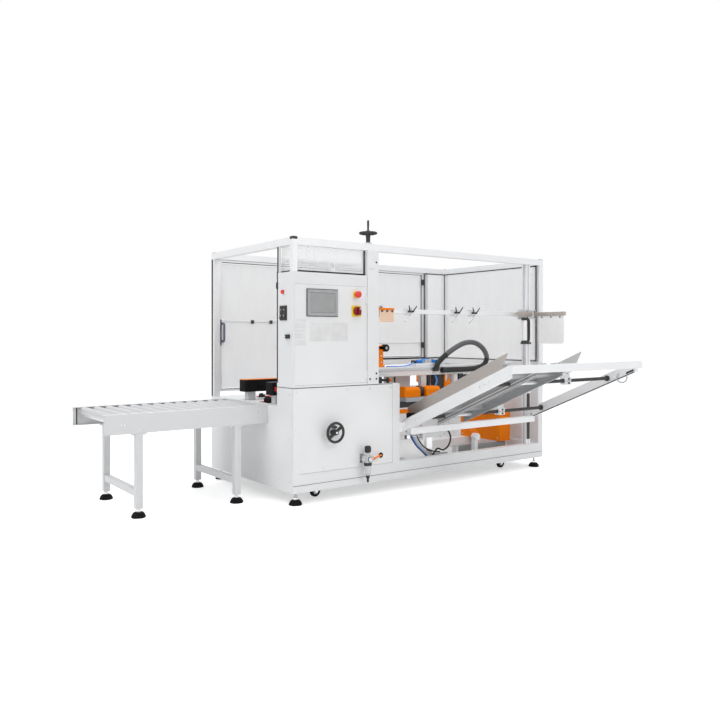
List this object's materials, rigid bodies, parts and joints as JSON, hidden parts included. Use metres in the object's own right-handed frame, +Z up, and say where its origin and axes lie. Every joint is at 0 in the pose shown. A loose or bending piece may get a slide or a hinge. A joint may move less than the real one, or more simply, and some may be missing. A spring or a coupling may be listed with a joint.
{
  "type": "carton sealer machine",
  "caption": "Guarded carton erecting and sealing machine with control cabinet, inclined blank magazine and roller outfeed.",
  "frame": {"origin": "on the floor under the middle of the whole object's box", "axes": "+X from the outfeed conveyor towards the magazine end, +Y from the front to the back, +Z up"},
  "size_m": [2.963, 1.85, 1.59],
  "materials": {
    "white_paint": "satin powder coat",
    "aluminium": "satin anodised",
    "steel": "brushed",
    "black_plastic": "satin moulded",
    "rubber": "matt",
    "orange_paint": "gloss enamel",
    "red_plastic": "gloss",
    "yellow_plastic": "gloss",
    "blue_plastic": "gloss",
    "grey_plastic": "satin",
    "clear_acrylic": "clear"
  },
  "bodies": {
    "body": {"conveyor_frame": "white_paint", "conveyor_leg_outer": "white_paint", "conveyor_leg_inner": "white_paint", "base_frame": "white_paint", "front_panel": "white_paint", "lower_cladding": "white_paint", "control_cabinet": "white_paint", "column": "white_paint", "magazine_frame": "white_paint", "guard_frame": "aluminium", "magazine_bed": "aluminium", "guide_post": "aluminium", "foot_front_left": "rubber", "foot_rear_left": "rubber", "foot_front_right": "rubber", "foot_rear_right": "rubber", "conveyor_foot_outer_front": "rubber", "conveyor_foot_outer_rear": "rubber", "conveyor_foot_inner_front": "rubber", "conveyor_foot_inner_rear": "rubber", "air_unit": "grey_plastic", "end_glazing": "clear_acrylic", "head_window": "clear_acrylic", "tape_unit": "red_plastic", "side_belt_far": "black_plastic", "cable_conduit": "black_plastic", "fixed_guide": "steel", "drive_box": "orange_paint"},
    "roller_01": {"roller_01": "aluminium"},
    "roller_02": {"roller_02": "aluminium"},
    "roller_03": {"roller_03": "aluminium"},
    "roller_04": {"roller_04": "aluminium"},
    "roller_05": {"roller_05": "aluminium"},
    "roller_06": {"roller_06": "aluminium"},
    "roller_07": {"roller_07": "aluminium"},
    "roller_08": {"roller_08": "aluminium"},
    "roller_09": {"roller_09": "aluminium"},
    "roller_10": {"roller_10": "aluminium"},
    "roller_11": {"roller_11": "aluminium"},
    "roller_12": {"roller_12": "aluminium"},
    "roller_13": {"roller_13": "aluminium"},
    "caster_fork_front_left": {"caster_fork_front_left": "grey_plastic"},
    "caster_wheel_front_left": {"caster_wheel_front_left": "rubber"},
    "caster_fork_front_right": {"caster_fork_front_right": "grey_plastic"},
    "caster_wheel_front_right": {"caster_wheel_front_right": "rubber"},
    "caster_rear_left": {"caster_rear_left": "grey_plastic"},
    "caster_rear_right": {"caster_rear_right": "grey_plastic"},
    "cabinet_door": {"cabinet_door": "white_paint", "touch_screen": "grey_plastic"},
    "emergency_stop": {"emergency_stop": "red_plastic"},
    "main_switch": {"main_switch": "red_plastic"},
    "top_handwheel": {"top_handwheel": "black_plastic"},
    "side_handwheel": {"side_handwheel": "black_plastic"},
    "guard_door_left": {"guard_door_left": "clear_acrylic"},
    "guard_door_right": {"guard_door_right": "clear_acrylic"},
    "moving_guide": {"moving_guide": "steel"},
    "hold_down_bar": {"hold_down_bar": "aluminium"},
    "opening_arm": {"opening_arm": "orange_paint"},
    "pusher": {"pusher": "orange_paint"},
    "side_belt_near": {"side_belt_near": "black_plastic"}
  },
  "joints": [
    {"name": "roller_01_spin", "type": "hinge", "parent": "body", "child": "roller_01", "pos_m": [-1.4318, 0.47, 0.502], "axis": [0, 1, 0], "continuous": true},
    {"name": "roller_02_spin", "type": "hinge", "parent": "body", "child": "roller_02", "pos_m": [-1.364, 0.47, 0.502], "axis": [0, 1, 0], "continuous": true},
    {"name": "roller_03_spin", "type": "hinge", "parent": "body", "child": "roller_03", "pos_m": [-1.2962, 0.47, 0.502], "axis": [0, 1, 0], "continuous": true},
    {"name": "roller_04_spin", "type": "hinge", "parent": "body", "child": "roller_04", "pos_m": [-1.2284, 0.47, 0.502], "axis": [0, 1, 0], "continuous": true},
    {"name": "roller_05_spin", "type": "hinge", "parent": "body", "child": "roller_05", "pos_m": [-1.1606, 0.47, 0.502], "axis": [0, 1, 0], "continuous": true},
    {"name": "roller_06_spin", "type": "hinge", "parent": "body", "child": "roller_06", "pos_m": [-1.0928, 0.47, 0.502], "axis": [0, 1, 0], "continuous": true},
    {"name": "roller_07_spin", "type": "hinge", "parent": "body", "child": "roller_07", "pos_m": [-1.025, 0.47, 0.502], "axis": [0, 1, 0], "continuous": true},
    {"name": "roller_08_spin", "type": "hinge", "parent": "body", "child": "roller_08", "pos_m": [-0.9572, 0.47, 0.502], "axis": [0, 1, 0], "continuous": true},
    {"name": "roller_09_spin", "type": "hinge", "parent": "body", "child": "roller_09", "pos_m": [-0.8894, 0.47, 0.502], "axis": [0, 1, 0], "continuous": true},
    {"name": "roller_10_spin", "type": "hinge", "parent": "body", "child": "roller_10", "pos_m": [-0.8216, 0.47, 0.502], "axis": [0, 1, 0], "continuous": true},
    {"name": "roller_11_spin", "type": "hinge", "parent": "body", "child": "roller_11", "pos_m": [-0.7538, 0.47, 0.502], "axis": [0, 1, 0], "continuous": true},
    {"name": "roller_12_spin", "type": "hinge", "parent": "body", "child": "roller_12", "pos_m": [-0.686, 0.47, 0.502], "axis": [0, 1, 0], "continuous": true},
    {"name": "roller_13_spin", "type": "hinge", "parent": "body", "child": "roller_13", "pos_m": [-0.6182, 0.47, 0.502], "axis": [0, 1, 0], "continuous": true},
    {"name": "caster_front_left_swivel", "type": "hinge", "parent": "body", "child": "caster_fork_front_left", "pos_m": [-0.3685, 0.035, 0.115], "axis": [0, 0, 1], "continuous": true},
    {"name": "caster_front_right_swivel", "type": "hinge", "parent": "body", "child": "caster_fork_front_right", "pos_m": [1.1515, 0.035, 0.115], "axis": [0, 0, 1], "continuous": true},
    {"name": "caster_rear_left_swivel", "type": "hinge", "parent": "body", "child": "caster_rear_left", "pos_m": [-0.3685, 0.815, 0.115], "axis": [0, 0, 1], "continuous": true},
    {"name": "caster_rear_right_swivel", "type": "hinge", "parent": "body", "child": "caster_rear_right", "pos_m": [1.1515, 0.815, 0.115], "axis": [0, 0, 1], "continuous": true},
    {"name": "caster_front_left_roll", "type": "hinge", "parent": "caster_fork_front_left", "child": "caster_wheel_front_left", "pos_m": [-0.3545, 0.035, 0.044], "axis": [0, 1, 0], "continuous": true},
    {"name": "caster_front_right_roll", "type": "hinge", "parent": "caster_fork_front_right", "child": "caster_wheel_front_right", "pos_m": [1.1655, 0.035, 0.044], "axis": [0, 1, 0], "continuous": true},
    {"name": "cabinet_door_hinge", "type": "hinge", "parent": "body", "child": "cabinet_door", "pos_m": [-0.0753, -0.075, 0.925], "axis": [0, 0, 1], "range_deg": [0, 110]},
    {"name": "emergency_stop_press", "type": "slide", "parent": "cabinet_door", "child": "emergency_stop", "axis": [0, 1, 0], "range_m": [0, 0.004], "stiffness_N_per_m": 1500},
    {"name": "main_switch_turn", "type": "hinge", "parent": "cabinet_door", "child": "main_switch", "pos_m": [-0.1475, -0.075, 1.059], "axis": [0, 1, 0], "range_deg": [0, 90]},
    {"name": "guard_door_left_hinge", "type": "hinge", "parent": "body", "child": "guard_door_left", "pos_m": [0.3311, 0.925, 0.985], "axis": [0, 0, -1], "range_deg": [0, 100]},
    {"name": "guard_door_right_hinge", "type": "hinge", "parent": "body", "child": "guard_door_right", "pos_m": [1.2211, 0.925, 1.0775], "axis": [0, 0, -1], "range_deg": [0, 100]},
    {"name": "guide_slide", "type": "slide", "parent": "body", "child": "moving_guide", "axis": [1, 0, 0], "range_m": [-0.19, 0.3]},
    {"name": "hold_down_slide", "type": "slide", "parent": "body", "child": "hold_down_bar", "axis": [0, 0, 1], "range_m": [-0.12, 0.12]},
    {"name": "top_handwheel_turn", "type": "hinge", "parent": "body", "child": "top_handwheel", "pos_m": [-0.0385, -0.045, 1.515], "axis": [0, 0, 1], "range_deg": [-1080, 1080]},
    {"name": "near_belt_slide", "type": "slide", "parent": "body", "child": "side_belt_near", "axis": [0, 1, 0], "range_m": [-0.05, 0.045]},
    {"name": "side_handwheel_turn", "type": "hinge", "parent": "body", "child": "side_handwheel", "pos_m": [-0.3165, -0.075, 0.385], "axis": [0, -1, 0], "range_deg": [-450, 405]},
    {"name": "opening_arm_swing", "type": "hinge", "parent": "body", "child": "opening_arm", "pos_m": [0.2675, 0.225, 0.7206], "axis": [0, 0, 1], "range_deg": [0, 90]},
    {"name": "pusher_slide", "type": "slide", "parent": "body", "child": "pusher", "axis": [1, 0, 0], "range_m": [0, 0.52]}
  ],
  "couplings": [
    {"joint": "top_handwheel_turn", "follows": "hold_down_slide", "rad_per_m": 157.08},
    {"joint": "side_handwheel_turn", "follows": "near_belt_slide", "rad_per_m": 157.08}
  ]
}
